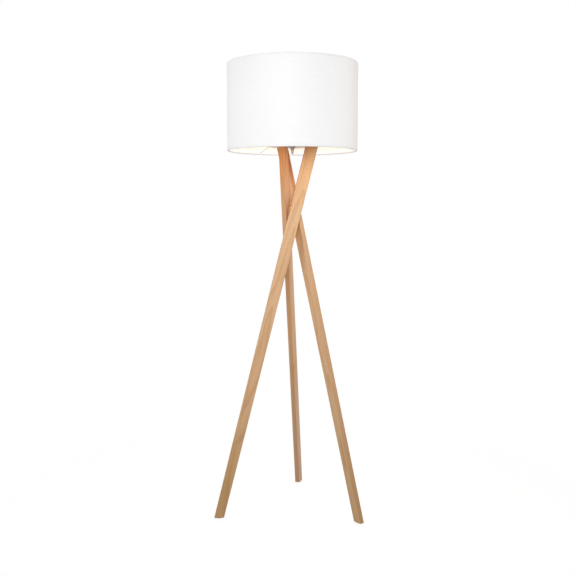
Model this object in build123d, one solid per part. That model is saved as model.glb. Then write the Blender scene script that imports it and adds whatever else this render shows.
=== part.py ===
from build123d import *
from math import asin, cos, degrees, hypot, radians, sin, tan
import os

# Tripod floor lamp: three board legs that cross below a fabric drum shade.
# Millimetres, +Z up. The origin is on the floor, on the lamp's upright axis.
# The back foot points along +Y.

# Drum shade
shade_radius = 225.0
shade_height = 296.5
shade_bottom = 1264.0
fabric_thickness = 0.8
liner_thickness = 0.5
wire_radius = 1.75
wire_wrap_gap = 0.6
hem_turn = 25.0
spoke_azimuth = 9.0
spoke_notch_gap = 1.0
fitter_rim_width = 8.5
fitter_thickness = 2.0
fitter_clearance = 1.0

# Legs
foot_radius = 279.0
back_foot_azimuth = 90.0
waist_below_shade = 221.0
leg_width_foot = 31.4
leg_width_top = 41.7
leg_thickness = 17.0
leg_turn = 13.6
leg_edge_round = 1.0
foot_pad_radius = 7.0
foot_pad_thickness = 2.0

# Block and dowels where the legs cross
waist_gap = 0.5
block_height = 60.0
block_bulge = 4.0
dowel_radius = 4.0
dowel_in_leg = 10.0
dowel_spacing = 1.2

# Wooden plate on the leg ends, inside the shade
plate_inset = 16.0
plate_thickness = 18.0
plate_margin = 2.0
plate_edge_round = 2.0

# Wood screws through the plate, two in each leg end
screw_radius = 2.25
screw_head_radius = 4.5
screw_length = 50.0
screw_tip_length = 6.0
screw_spacing = 16.0
recess_length = 5.0
recess_width = 0.9
recess_depth = 1.6

# Threaded pipe, washers and lock nut
pipe_radius = 5.0
pipe_bore_radius = 4.0
washer_radius = 13.0
washer_thickness = 1.5
nut_across_flats = 17.0
nut_height = 4.5

# Cord gland under the plate
gland_body_radius = 10.0
gland_body_height = 4.5
gland_spigot_radius = 5.2
gland_spigot_length = 3.0
gland_cone_radius = 7.0
gland_cone_length = 20.5
gland_collar_height = 4.0
gland_shoulder_height = 1.5
gland_stem_radius = 5.2
gland_tip_radius = 4.3
cord_bore_radius = 3.5
cord_bore_length = 14.0

# Lamp holder
holder_cap_radius = 19.0
holder_cap_height = 20.0
holder_cap_floor = 3.0
holder_boss_radius = 8.0
holder_boss_height = 9.0
holder_wall = 2.3
holder_spigot_length = 7.0
holder_spigot_wall = 2.5
shade_thread_radius = 19.5
seat_radius = 25.0
seat_thickness = 3.0
rim_lip = 4.0
contact_block_thickness = 6.0
screw_shell_height = 24.0
screw_shell_wall = 0.6
screw_shell_foot = 1.0
contact_rise = 4.0
contact_strip_thickness = 0.5
contact_strip_width = 6.0
terminal_offset = 8.0
terminal_head_radius = 2.75
terminal_head_height = 2.0
terminal_screw_radius = 1.5
terminal_screw_depth = 4.0

# Threaded ring that clamps the shade
clamp_ring_height = 9.0
clamp_ring_edge = 1.5
clamp_ring_flutes = 18
flute_radius = 2.0
flute_depth = 1.0

# Bulb
bulb_cap_radius = 13.1
bulb_cap_length = 24.5
bulb_cap_wall = 0.5
bulb_tip_radius = 4.5
bulb_tip_thickness = 1.2
insulator_radius = 11.5
insulator_height = 4.0
housing_neck_radius = 14.0
housing_neck_length = 4.5
housing_spigot_length = 10.0
housing_length = 37.5
housing_wall = 1.4
dome_radius = 30.0
dome_base_radius = 27.0
dome_wall = 1.2
light_board_thickness = 1.6
light_chip_count = 12
light_chip_ring = 16.0
light_chip_size = 3.0
light_chip_height = 0.7

# Small chamfer on the widest edges of turned pieces
edge_break = 0.4

# Clearances
glue_gap = 0.1
thread_clearance = 0.1
slip_clearance = 0.3
seat_gap = 0.2
bulb_screw_clearance = 0.6

# A round or square piece stands on its own centre
STANDING = (Align.CENTER, Align.CENTER, Align.MIN)

# Names of the three legs and the three spokes, in turn about the lamp's axis
LEGS = ("back", "left", "right")
SPOKES = ("right", "back", "front")

# Heights up the lamp's axis
waist_height = shade_bottom - waist_below_shade
shade_top = shade_bottom + shade_height
plate_underside = shade_bottom + plate_inset
plate_top = plate_underside + plate_thickness
upper_washer_top = plate_top + washer_thickness
holder_bottom = upper_washer_top + nut_height
pipe_top = holder_bottom + holder_boss_height
seat_underside = holder_bottom + holder_cap_height
seat_top = seat_underside + seat_thickness
fitter_bottom = seat_top + seat_gap
fitter_top = fitter_bottom + fitter_thickness
clamp_ring_bottom = fitter_top + seat_gap
contact_block_top = seat_underside + contact_block_thickness
screw_shell_top = contact_block_top + screw_shell_height
holder_rim = screw_shell_top + rim_lip
contact_top = contact_block_top + contact_rise
bulb_bottom = contact_top + seat_gap
gland_top = plate_underside - washer_thickness
gland_cone_top = gland_top - gland_body_height
gland_tip = gland_cone_top - gland_cone_length

# Radii that follow from what a piece fits
fold_radius = wire_radius + wire_wrap_gap
ring_radius = shade_radius - fabric_thickness - fold_radius
lower_wire_height = shade_bottom + fold_radius + fabric_thickness
upper_wire_height = shade_top - fold_radius - fabric_thickness
liner_radius = shade_radius - fabric_thickness - glue_gap
fitter_bore_radius = shade_thread_radius + fitter_clearance
fitter_radius = fitter_bore_radius + fitter_rim_width
holder_bore_radius = holder_cap_radius - holder_wall
screw_shell_radius = bulb_cap_radius + bulb_screw_clearance
pipe_hole_radius = pipe_radius + thread_clearance

# Where the leg boards pass the lamp's axis: their inner faces close round the block
waist_width = leg_width_foot + (leg_width_top - leg_width_foot) * waist_height / plate_underside
block_flat = waist_width / (2 * tan(radians(60))) + waist_gap
waist_offset = (block_flat + glue_gap + leg_thickness / 2) / cos(radians(leg_turn))
waist_azimuth = 90 - degrees(asin(waist_offset / foot_radius))


def outward(azimuth):
    """Level unit vector at an azimuth, counted from +X towards +Y."""
    return Vector(cos(radians(azimuth)), sin(radians(azimuth)), 0)


def spread(names):
    """Each name with its turn about the lamp's axis, evenly round it."""
    return {name: 360 * place / len(names) for place, name in enumerate(names)}


def turned(*outline):
    """Solid of revolution about the lamp's axis from an outline of radius and height."""
    face = make_face(Polyline(*outline, close=True))
    return revolve(Plane.XZ * face, Axis.Z)


def softened(piece, count):
    """Turned piece with its widest edges, as many as counted, broken a little."""
    rims = piece.edges().filter_by(GeomType.CIRCLE).sort_by(SortBy.RADIUS)
    return chamfer(rims[-count:], edge_break)


def ring(inner, outer, bottom, top):
    """Plain ring or tube about the lamp's axis."""
    return turned((inner, bottom), (outer, bottom), (outer, top), (inner, top))


def disc(radius, bottom, top):
    """Plain disc or rod on the lamp's axis."""
    return Pos(0, 0, bottom) * Cylinder(radius, top - bottom, align=STANDING)


def rod(start, end, radius):
    """Round bar from one point to another."""
    run = end - start
    return extrude(Plane(origin=start, z_dir=run) * Circle(radius), run.length)


def wire_ring(height, radius):
    """Round wire bent to the shade's circle."""
    return Pos(0, 0, height) * Torus(ring_radius, radius)


def leg_plane(turn):
    """Plane in the middle of a board: X across its width, Y up along the leg, Z out of its face."""
    azimuth = back_foot_azimuth + turn
    foot = outward(azimuth) * foot_radius
    waist = outward(azimuth + waist_azimuth) * waist_offset + Vector(0, 0, waist_height)
    along = (waist - foot).normalized()
    level = outward(azimuth + waist_azimuth - leg_turn)
    face = (level - along * level.dot(along)).normalized()
    return Plane(origin=foot, x_dir=along.cross(face), z_dir=face)


def leg_point(plane, height):
    """Point of a leg's centre line at a height above the floor."""
    return plane.origin + plane.y_dir * (height / plane.y_dir.Z)


def leg_board(plane):
    """Tapered board with rounded edges, cut level at the foot pad and at the plate."""
    length = plate_underside / plane.y_dir.Z
    taper = (leg_width_top - leg_width_foot) / length
    overrun = leg_width_top
    low = leg_width_foot / 2 - taper * overrun / 2
    high = leg_width_top / 2 + taper * overrun / 2
    end = length + overrun
    outline = Polyline((-low, -overrun), (low, -overrun), (high, end), (-high, end), close=True)
    board = extrude(make_face(outline), leg_thickness / 2, both=True)
    board = plane * fillet(board.edges().sort_by(SortBy.LENGTH)[-4:], leg_edge_round)
    board = split(board, Plane.XY.offset(foot_pad_thickness), keep=Keep.TOP)
    return split(board, Plane.XY.offset(plate_underside), keep=Keep.BOTTOM)


def dowel(plane, grow=0.0):
    """Dowel from the block into a leg's inner face, square to that face."""
    centre = Vector(0, 0, waist_height)
    face_distance = (plane.origin - centre).dot(plane.z_dir) - leg_thickness / 2
    core = dowel_radius / tan(radians(60)) + dowel_spacing
    start = centre + plane.z_dir * (core - grow)
    end = centre + plane.z_dir * (face_distance + dowel_in_leg + grow)
    return rod(start, end, dowel_radius + grow)


def wood_screw(place, grow=0.0):
    """Countersunk wood screw, head flush with the plate's top."""
    shank = screw_radius + grow
    head = screw_head_radius + grow
    tip = screw_tip_length - screw_length
    screw = turned((0, 0), (head, 0), (shank, shank - head), (shank, tip), (0, -screw_length - grow))
    if not grow:
        slot = Box(recess_length, recess_width, 2 * recess_depth)
        screw -= slot + Rot(0, 0, 90) * slot
    return Pos(place.X, place.Y, plate_top) * screw


def screw_places(plane):
    """Two places across the top end of a leg, one each side of its centre line."""
    centre = leg_point(plane, plate_underside)
    across = Vector(plane.x_dir.X, plane.x_dir.Y, 0).normalized() * (screw_spacing / 2)
    return [centre - across, centre + across]


def make_legs():
    """Legs, foot pads, block, dowels, plate and its screws."""
    planes = {name: leg_plane(turn) for name, turn in spread(LEGS).items()}
    places = [place for plane in planes.values() for place in screw_places(plane)]
    nodes = {}
    for name, plane in planes.items():
        board = leg_board(plane) - dowel(plane, glue_gap)
        for place in screw_places(plane):
            board -= wood_screw(place, glue_gap)
        nodes["leg_" + name] = board
        foot = leg_point(plane, foot_pad_thickness)
        nodes["foot_pad_" + name] = Pos(foot.X, foot.Y, 0) * disc(foot_pad_radius, 0, foot_pad_thickness)

    block_radius = block_flat + block_bulge
    block = disc(block_radius, waist_height - block_height / 2, waist_height + block_height / 2)
    for plane in planes.values():
        block = split(block, plane.offset(-leg_thickness / 2 - glue_gap), keep=Keep.BOTTOM)
        block -= dowel(plane, glue_gap)
    nodes["waist_block"] = block
    nodes["waist_dowels"] = [dowel(plane) for plane in planes.values()]

    leg_end = nodes["leg_back"].faces().sort_by(Axis.Z)[-1]
    plate_radius = max(hypot(corner.X, corner.Y) for corner in leg_end.vertices()) + plate_margin
    plate = disc(plate_radius, plate_underside, plate_top)
    plate = fillet(plate.edges(), plate_edge_round)
    plate -= disc(pipe_hole_radius, plate_underside, plate_top)
    for place in places:
        plate -= wood_screw(place, glue_gap)
    nodes["top_plate"] = plate
    nodes["top_plate_screws"] = [wood_screw(place) for place in places]
    return nodes


def lock_nut():
    """Six-sided nut with its corners turned off at the top and bottom."""
    flat = nut_across_flats / 2
    corner = flat / cos(radians(30))
    slope = (corner - flat) * tan(radians(30))
    blank = turned(
        (pipe_hole_radius, upper_washer_top),
        (flat, upper_washer_top),
        (corner, upper_washer_top + slope),
        (corner, holder_bottom - slope),
        (flat, holder_bottom),
        (pipe_hole_radius, holder_bottom),
    )
    sides = extrude(RegularPolygon(flat, 6, major_radius=False), nut_height)
    return blank & (Pos(0, 0, upper_washer_top) * sides)


def make_pipe():
    """Threaded pipe through the plate, with its washers, lock nut and cord gland."""
    hole = pipe_hole_radius
    spigot_bottom = gland_cone_top - gland_spigot_length
    bore_top = gland_tip + cord_bore_length
    collar_bottom = gland_cone_top - gland_collar_height
    socket = gland_spigot_radius + thread_clearance
    gland_body = turned(
        (hole, gland_top),
        (hole, gland_cone_top),
        (pipe_bore_radius, gland_cone_top),
        (pipe_bore_radius, spigot_bottom),
        (gland_spigot_radius, spigot_bottom),
        (gland_spigot_radius, gland_cone_top),
        (gland_body_radius, gland_cone_top),
        (gland_body_radius, gland_top),
    )
    gland_cone = turned(
        (socket, gland_cone_top),
        (socket, spigot_bottom),
        (cord_bore_radius, bore_top),
        (cord_bore_radius, gland_tip),
        (gland_tip_radius, gland_tip),
        (gland_stem_radius, collar_bottom - gland_shoulder_height),
        (gland_cone_radius, collar_bottom),
        (gland_cone_radius, gland_cone_top),
    )
    return {
        "lamp_pipe": ring(pipe_bore_radius, pipe_radius, gland_cone_top, pipe_top),
        "washer_upper": softened(ring(hole, washer_radius, plate_top, upper_washer_top), 2),
        "washer_lower": softened(ring(hole, washer_radius, gland_top, plate_underside), 2),
        "lock_nut": lock_nut(),
        "gland_body": softened(gland_body, 2),
        "gland_cone": softened(gland_cone, 2),
    }


def centre_contact():
    """Spring strip from its rivet up to the middle of the holder."""
    base = contact_block_top
    top = contact_top
    thick = contact_strip_thickness
    foot_start = -terminal_offset - contact_strip_width / 4
    foot_end = -terminal_offset + contact_strip_width / 2
    bend = -contact_strip_width / 4
    end = contact_strip_width / 2
    outline = Polyline(
        (foot_start, base),
        (foot_end, base),
        (bend, top - thick),
        (end, top - thick),
        (end, top),
        (bend, top),
        (foot_end, base + thick),
        (foot_start, base + thick),
        close=True,
    )
    return extrude(Plane.XZ * make_face(outline), contact_strip_width / 2, both=True)


def terminal_screw(side):
    """Terminal screw under the contact block."""
    screw = disc(terminal_head_radius, seat_underside - terminal_head_height, seat_underside)
    screw += disc(terminal_screw_radius, seat_underside, seat_underside + terminal_screw_depth)
    return Pos(side * terminal_offset, 0, 0) * screw


def make_holder():
    """Lamp holder on the pipe: cap, threaded body, contact block, screw shell and contacts."""
    spigot_radius = holder_bore_radius - thread_clearance
    spigot_bore = spigot_radius - holder_spigot_wall
    spigot_bottom = seat_underside - holder_spigot_length
    floor_top = holder_bottom + holder_cap_floor
    hole = pipe_hole_radius
    cap = turned(
        (hole, holder_bottom),
        (holder_cap_radius, holder_bottom),
        (holder_cap_radius, seat_underside),
        (holder_bore_radius, seat_underside),
        (holder_bore_radius, floor_top),
        (holder_boss_radius, floor_top),
        (holder_boss_radius, pipe_top),
        (hole, pipe_top),
    )
    body = turned(
        (spigot_bore, spigot_bottom),
        (spigot_radius, spigot_bottom),
        (spigot_radius, seat_underside),
        (seat_radius, seat_underside),
        (seat_radius, seat_top),
        (shade_thread_radius, seat_top),
        (shade_thread_radius, holder_rim),
        (holder_bore_radius, holder_rim),
        (holder_bore_radius, seat_underside),
        (spigot_bore, seat_underside),
    )
    sleeve = holder_bore_radius - thread_clearance
    block = disc(sleeve, seat_underside, contact_block_top)
    for side in (-1, 1):
        drill_top = seat_underside + terminal_screw_depth
        drill = disc(terminal_screw_radius + glue_gap, seat_underside, drill_top)
        block -= Pos(side * terminal_offset, 0, 0) * drill
    shell = turned(
        (screw_shell_radius, contact_block_top),
        (sleeve, contact_block_top),
        (sleeve, contact_block_top + screw_shell_foot),
        (screw_shell_radius + screw_shell_wall, contact_block_top + screw_shell_foot),
        (screw_shell_radius + screw_shell_wall, screw_shell_top),
        (screw_shell_radius, screw_shell_top),
    )
    return {
        "holder_cap": softened(cap, 2),
        "holder_body": softened(body, 2),
        "contact_block": block,
        "screw_shell": shell,
        "centre_contact": centre_contact(),
        "terminal_screws": [terminal_screw(side) for side in (-1, 1)],
    }


def hem_fold(upwards):
    """Outline of the cloth where it turns over a wire ring and back to the lining."""
    fold = Circle(fold_radius + fabric_thickness) - Circle(fold_radius)
    reach = 4 * fold_radius
    past = radians(180 + hem_turn)
    below = (reach * cos(past), reach * sin(past))
    far = 2 * reach
    open_side = Polyline((0, 0), below, (0, -far), (far, -far), (far, 0), close=True)
    fold -= make_face(open_side)
    middle = fold_radius + fabric_thickness / 2
    lining = shade_radius - fabric_thickness - glue_gap - liner_thickness - glue_gap
    strip_length = (lining - ring_radius - middle * cos(past)) / sin(radians(hem_turn))
    strip = Rectangle(fabric_thickness, strip_length, align=(Align.CENTER, Align.MAX))
    strip = Pos(middle * cos(past), middle * sin(past)) * Rot(0, 0, hem_turn) * strip
    room = Rectangle(reach, 4 * strip_length, align=(Align.MIN, Align.MAX))
    room = Pos(lining - ring_radius, 0) * room
    strip -= room
    fold += strip
    fold = fold if upwards else mirror(fold, Plane.XZ)
    return Pos(ring_radius, upper_wire_height if upwards else lower_wire_height) * fold


def spoke_line(turn):
    """Ends of a spoke's centre line, at the fitter ring and at the lower wire ring."""
    way = outward(spoke_azimuth + turn)
    start = way * fitter_radius + Vector(0, 0, (fitter_bottom + fitter_top) / 2)
    end = way * ring_radius + Vector(0, 0, lower_wire_height)
    return start, end


def make_shade():
    """Cloth, lining, wire rings, spokes and fitter ring."""
    wall_height = upper_wire_height - lower_wire_height
    wall = Rectangle(fabric_thickness, wall_height, align=(Align.MAX, Align.MIN))
    outline = Pos(shade_radius, lower_wire_height) * wall + hem_fold(True) + hem_fold(False)
    fabric = revolve(Plane.XZ * outline, Axis.Z)
    liner_bottom = lower_wire_height + fold_radius
    liner_top = upper_wire_height - fold_radius
    nodes = {}
    for name, turn in spread(SPOKES).items():
        start, end = spoke_line(turn)
        inward = (start - end).normalized() * wire_radius
        spoke = rod(start + inward, end, wire_radius)
        spoke -= disc(fitter_radius + glue_gap, shade_bottom, shade_top)
        spoke -= wire_ring(lower_wire_height, wire_radius + glue_gap)
        nodes["spoke_" + name] = spoke
        fabric -= rod(start, end, wire_radius + spoke_notch_gap)
    nodes["shade_fabric"] = fabric
    nodes["shade_liner"] = ring(liner_radius - liner_thickness, liner_radius, liner_bottom, liner_top)
    nodes["shade_ring_top"] = wire_ring(upper_wire_height, wire_radius)
    nodes["shade_ring_bottom"] = wire_ring(lower_wire_height, wire_radius)
    nodes["fitter_ring"] = ring(fitter_bore_radius, fitter_radius, fitter_bottom, fitter_top)
    return nodes


def make_clamp_ring():
    """Fluted ring that screws down on the shade's fitter ring."""
    outer = fitter_radius - clamp_ring_edge
    top = clamp_ring_bottom + clamp_ring_height
    clamp = softened(ring(shade_thread_radius + slip_clearance, outer, clamp_ring_bottom, top), 2)
    for place in PolarLocations(outer + flute_radius - flute_depth, clamp_ring_flutes):
        clamp -= place * disc(flute_radius, clamp_ring_bottom, top)
    return {"clamp_ring": clamp}


def make_bulb():
    """Screw-in bulb with a conical housing and a round dome."""
    tip_top = bulb_bottom + bulb_tip_thickness
    cap_bottom = tip_top + insulator_height
    cap_top = bulb_bottom + bulb_cap_length
    neck_top = cap_top + housing_neck_length
    dome_bottom = cap_top + housing_length
    dome_centre = dome_bottom + (dome_radius**2 - dome_base_radius**2) ** 0.5
    spigot = bulb_cap_radius - bulb_cap_wall - glue_gap
    flare = (dome_base_radius - housing_neck_radius) / (dome_bottom - neck_top)
    board_top = dome_bottom - light_chip_height
    board_bottom = board_top - light_board_thickness
    board_radius = housing_neck_radius - housing_wall + flare * (board_bottom - neck_top) - glue_gap

    housing = turned(
        (spigot - housing_wall, cap_top - housing_spigot_length),
        (spigot, cap_top - housing_spigot_length),
        (spigot, cap_top),
        (housing_neck_radius, cap_top),
        (housing_neck_radius, neck_top),
        (dome_base_radius, dome_bottom),
        (dome_base_radius - housing_wall, dome_bottom),
        (housing_neck_radius - housing_wall, neck_top),
        (spigot - housing_wall, cap_top),
    )
    dome = Sphere(dome_radius) - Sphere(dome_radius - dome_wall)
    dome = split(Pos(0, 0, dome_centre) * dome, Plane.XY.offset(dome_bottom), keep=Keep.TOP)
    chip_places = PolarLocations(light_chip_ring, light_chip_count)
    chip = Box(light_chip_size, light_chip_size, light_chip_height, align=STANDING)
    return {
        "bulb_tip": disc(bulb_tip_radius, bulb_bottom, tip_top),
        "bulb_insulator": turned(
            (0, tip_top), (bulb_tip_radius, tip_top), (insulator_radius, cap_bottom), (0, cap_bottom)
        ),
        "bulb_cap": ring(bulb_cap_radius - bulb_cap_wall, bulb_cap_radius, cap_bottom, cap_top),
        "bulb_housing": housing,
        "light_board": disc(board_radius, board_bottom, board_top),
        "light_chips": [Pos(0, 0, board_top) * place * chip for place in chip_places],
        "bulb_dome": dome,
    }


def write(nodes):
    """One STEP file for each node; a node of several like pieces is a group of solids."""
    for name, shape in nodes.items():
        group = shape if isinstance(shape, list) else [shape]
        solids = [solid for piece in group for solid in piece.solids()]
        whole = solids[0] if len(solids) == 1 else Compound(children=solids)
        whole.label = name
        export_step(whole, f"parts/{name}.step")


os.makedirs("parts", exist_ok=True)
for make in (make_legs, make_pipe, make_holder, make_shade, make_clamp_ring, make_bulb):
    write(make())
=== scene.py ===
from math import atan2, cos, hypot, pi, radians, sin, tau

import bpy
import numpy as np
from bpy.props import FloatProperty, FloatVectorProperty, PointerProperty
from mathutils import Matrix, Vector


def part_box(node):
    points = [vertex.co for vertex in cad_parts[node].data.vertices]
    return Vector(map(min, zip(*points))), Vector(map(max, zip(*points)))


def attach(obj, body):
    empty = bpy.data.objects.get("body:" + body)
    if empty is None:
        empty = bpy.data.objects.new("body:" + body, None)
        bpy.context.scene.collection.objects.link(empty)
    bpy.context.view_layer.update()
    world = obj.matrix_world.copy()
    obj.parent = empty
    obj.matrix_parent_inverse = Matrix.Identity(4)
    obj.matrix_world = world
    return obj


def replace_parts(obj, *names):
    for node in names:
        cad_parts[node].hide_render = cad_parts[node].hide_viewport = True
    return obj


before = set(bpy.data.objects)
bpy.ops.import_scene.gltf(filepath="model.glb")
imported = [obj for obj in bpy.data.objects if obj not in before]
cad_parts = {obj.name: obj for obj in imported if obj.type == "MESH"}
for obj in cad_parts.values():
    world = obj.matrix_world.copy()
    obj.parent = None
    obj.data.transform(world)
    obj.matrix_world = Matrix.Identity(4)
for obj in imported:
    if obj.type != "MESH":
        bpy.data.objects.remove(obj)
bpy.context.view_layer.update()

bl_info = {
    "name": "Tripod floor lamp",
    "version": (1, 0, 0),
    "blender": (4, 5, 0),
    "location": "3D View > Sidebar > Lamp",
    "description": "Gives the CAD model of a tripod floor lamp its wood, cloth, metal and light",
    "category": "Object",
}

MILLIMETRE = 0.001

# How strongly each leg takes the painted warm lamplight and shade near the shade, and the painted shade near
# the floor (a negative share paints light there)
LEG_PAINTED_LIGHT = {"leg_back": (2.0, -0.6), "leg_left": (0.7, 1.0), "leg_right": (1.6, 0.5)}

# How strongly the plate takes that painted lamplight
PLATE_LAMPLIGHT = 0.1

PAD_NODES = ("foot_pad_back", "foot_pad_left", "foot_pad_right")
SPOKE_NODES = ("spoke_right", "spoke_back", "spoke_front")
RING_NODES = ("shade_ring_top", "shade_ring_bottom")

# Where in its plank each board was cut, in metres, so that no two show the same grain
LEG_CUT = 0.37
BLOCK_CUT = 1.3
PLATE_CUT = 2.1

# Swells of the wood's grain to a metre: across, along and out of the board
WANDER = (16.0, 1.7, 16.0)
RIPPLE = (60.0, 5.0, 60.0)
STREAK = (55.0, 1.1, 55.0)
FIBRE = (900.0, 9.0, 900.0)
FLECK = (1300.0, 150.0, 1300.0)

# Swells of a thick thread to a metre, along and across it, and of the cloth's clouds
SLUB_ALONG, SLUB_ACROSS = 14.0, 900.0
CLOTH_CLOUD = 9.0

# Metres from the cloth's cut edge over which the turned-in strip, the fold and the doubled cloth end
STRIP_END = (0.0075, 0.0095)
FOLD_END = (0.0135, 0.0185)
HEM_END = (0.0215, 0.026)

# Metres over which the lap's first and last edges fade
LAP_FADE = (0.0015, 0.0008)

# How the stretched cloth strays from a true drum, in metres, and how far it turns under before a notch
SLACK = (0.00012, 0.00009)
PUCKER = 0.00012
NOTCH_TURN = radians(100)

# How many thicknesses the cloth climbs onto its own end, and the room between the hem and the lining
LAP_LIFT = 1.06
LINING_ROOM = 0.00015

# Roughness of the plated fittings
PLATED = 0.36

# Share of the pitch over which a thread runs out, and how wide the sleeve's grooves and flat crests are
ROLLED_RUN_OUT = 0.6
SLEEVE_RUN_OUT = 0.5
SLEEVE_GROOVE, SLEEVE_CREST = 1.35, 0.1

# How finely the meshes are cut
LATHE_COLUMNS = 120
THREAD_ROWS = 10
CURL_STEPS = 6
CLOTH_COLUMNS = 396
CLOTH_STEP = 0.008
FOLD_STEPS = 16
STRIP_STEPS = 4
FLOOR_SIDES = 96

# Width of the camera's sensor in millimetres
SENSOR_WIDTH = 36


# Measures taken from the CAD model

def node_points(node):
    """Corner points of a CAD node, one row each."""
    return np.array([vertex.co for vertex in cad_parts[node].data.vertices])


def turned_size(node):
    """Bore radius, outer radius, bottom and top of a piece turned about the lamp's axis."""
    points = node_points(node)
    radius = np.hypot(points[:, 0], points[:, 1])
    return float(radius.min()), float(radius.max()), float(points[:, 2].min()), float(points[:, 2].max())


def board_axes(node):
    """Middle of a board, and its directions across, along and out of the wide face."""
    points = node_points(node)
    middle = points.mean(0)
    axes = np.linalg.svd(points - middle, full_matrices=False)[2]
    along, across, face = (Vector(axis) for axis in axes)
    if along.z < 0:
        along.negate()
    return Vector(middle), across, along, face


def far_azimuth(node):
    """Azimuth of the part of a node that is furthest from the lamp's axis."""
    points = node_points(node)
    radius = np.hypot(points[:, 0], points[:, 1])
    end = points[radius > radius.max() - MILLIMETRE].mean(0)
    return atan2(end[1], end[0])


def screen(red, green, blue):
    """Linear colour of a screen colour given from 0 to 255."""
    def linear(level):
        part = level / 255
        return part / 12.92 if part <= 0.04045 else ((part + 0.055) / 1.055) ** 2.4
    return linear(red), linear(green), linear(blue)


def dimmed(tint, amount):
    """A share of a colour."""
    return tuple(amount * part for part in tint)


def laid(tint, coats):
    """A tint laid on that many times."""
    return tuple(part ** coats for part in tint)


def ease(value):
    """0 below 0, 1 above 1, smooth between."""
    value = max(0.0, min(1.0, value))
    return value * value * (3 - 2 * value)


_, SHADE_RADIUS, SHADE_BOTTOM, _ = turned_size("shade_fabric")
LINING_BORE, _, LINING_BOTTOM, LINING_TOP = turned_size("shade_liner")
CAP_BORE, CAP_RADIUS, CAP_BOTTOM, CAP_TOP = turned_size("bulb_cap")
_, SHELL_FOOT_RADIUS, SHELL_BOTTOM, SHELL_TOP = turned_size("screw_shell")
_, _, TOP_WIRE_LOW, TOP_WIRE_HIGH = turned_size("shade_ring_top")
_, WIRE_REACH, LOW_WIRE_LOW, LOW_WIRE_HIGH = turned_size("shade_ring_bottom")


# What a user would change

def length(label, note, default):
    """A size in metres."""
    return FloatProperty(name=label, description=note, default=default, precision=5, unit="LENGTH")


def share(label, note, default):
    """A number from 0 to 1."""
    return FloatProperty(name=label, description=note, default=default, min=0, max=1, subtype="FACTOR")


def colour(label, note, default):
    """A linear colour."""
    limits = {"size": 3, "min": 0, "max": 1}
    return FloatVectorProperty(name=label, description=note, default=default, subtype="COLOR", **limits)


def angle(label, note, default):
    """An angle, given in degrees."""
    return FloatProperty(name=label, description=note, default=radians(default), subtype="ANGLE")


def power(label, note, default):
    """Power of a light in watts."""
    return FloatProperty(name=label, description=note, default=default, min=0, unit="POWER")


def brightness(label, note, default):
    """A strength from 0 up."""
    return FloatProperty(name=label, description=note, default=default, min=0, subtype="UNSIGNED")


class LAMP_PG_wood(bpy.types.PropertyGroup):
    """Varnished boards of the legs, the block and the plate."""

    pale: colour("Pale wood", "Colour between the growth rings", screen(238, 198, 156))
    warm: colour("Warm wood", "Colour of the broad streaks", screen(230, 185, 140))
    ring: colour("Ring", "Colour of the late wood in a growth ring", screen(206, 153, 106))
    fleck: colour("Fleck", "Colour of the short dark flecks", screen(158, 106, 66))
    edge: colour("Edge", "Tint of the sawn edges, which drink more varnish", (0.87, 0.83, 0.78))
    # Painted warm lamplight and shade on the boards just below the shade: its tint and how far down it
    # reaches
    lamplight_tint: colour("Amber", "Tint of the varnish that the lamp has aged near the shade", (0.97, 0.8, 0.64))
    lamplight_reach: length("Amber reach", "How far below the shade the aged varnish goes", 0.24)
    # Painted shade: the boards darker and warmer towards the floor, and how far up it reaches
    foot: colour("Foot", "Tint of the boards' lower ends", (0.86, 0.83, 0.68))
    foot_reach: length("Foot reach", "How far up the leg that tint goes", 0.46)
    ring_spacing: length("Ring spacing", "Distance from one growth ring to the next", 0.0042)
    ring_wander: length("Ring wander", "How far the growth rings stray over a long way", 0.03)
    ring_ripple: length("Ring ripple", "How far they stray over a short way", 0.0028)
    pith_distance: length("Pith distance", "How far the tree's middle was from the board", 0.055)
    pith_slant: share("Pith slant", "Slant of the tree's middle against the board", 0.006)


class LAMP_PG_shade(bpy.types.PropertyGroup):
    """Cloth drum, its lining and its wire frame."""

    cloth_thickness: length("Cloth thickness", "Cloth with its backing", 0.0008)
    lap: length("Lap", "Width of the glued lap where the cloth's ends meet", 0.012)
    lap_rise: length("Lap rise", "Length over which the cloth climbs onto its own end", 0.02)
    lap_azimuth: angle("Lap azimuth", "Where the lap is, counted from +X", 102)
    hem_turn: angle("Hem turn", "Slant of the turned-in hem", 25)
    notch: length("Notch", "Width of the cut in the hem round a spoke", 0.0055)
    thread_pitch: length("Thread pitch", "Distance from one thread of the weave to the next", 0.0007)
    cloth: colour("Cloth", "White cloth", screen(248, 248, 249))
    thread_shadow: colour("Thread shadow", "Cloth between the threads", screen(228, 228, 228))
    glow: colour("Glow", "Lamp light on the inside of the shade", screen(255, 250, 240))
    glow_strength: brightness("Glow strength", "Brightness of that light", 0.5)
    glow_through: share("Glow through", "How much of that light comes through the cloth", 0.1)
    fold_glow: share("Fold glow", "How much of that light falls on the fold of the lower hem", 0.45)
    wire_glow: share("Wire glow", "How much of that light falls on the wire frame", 0.3)
    lining: colour("Lining", "Cream lining sheet", screen(250, 248, 240))
    wire: colour("Wire", "White powder coat of the frame", screen(250, 246, 240))


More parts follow.
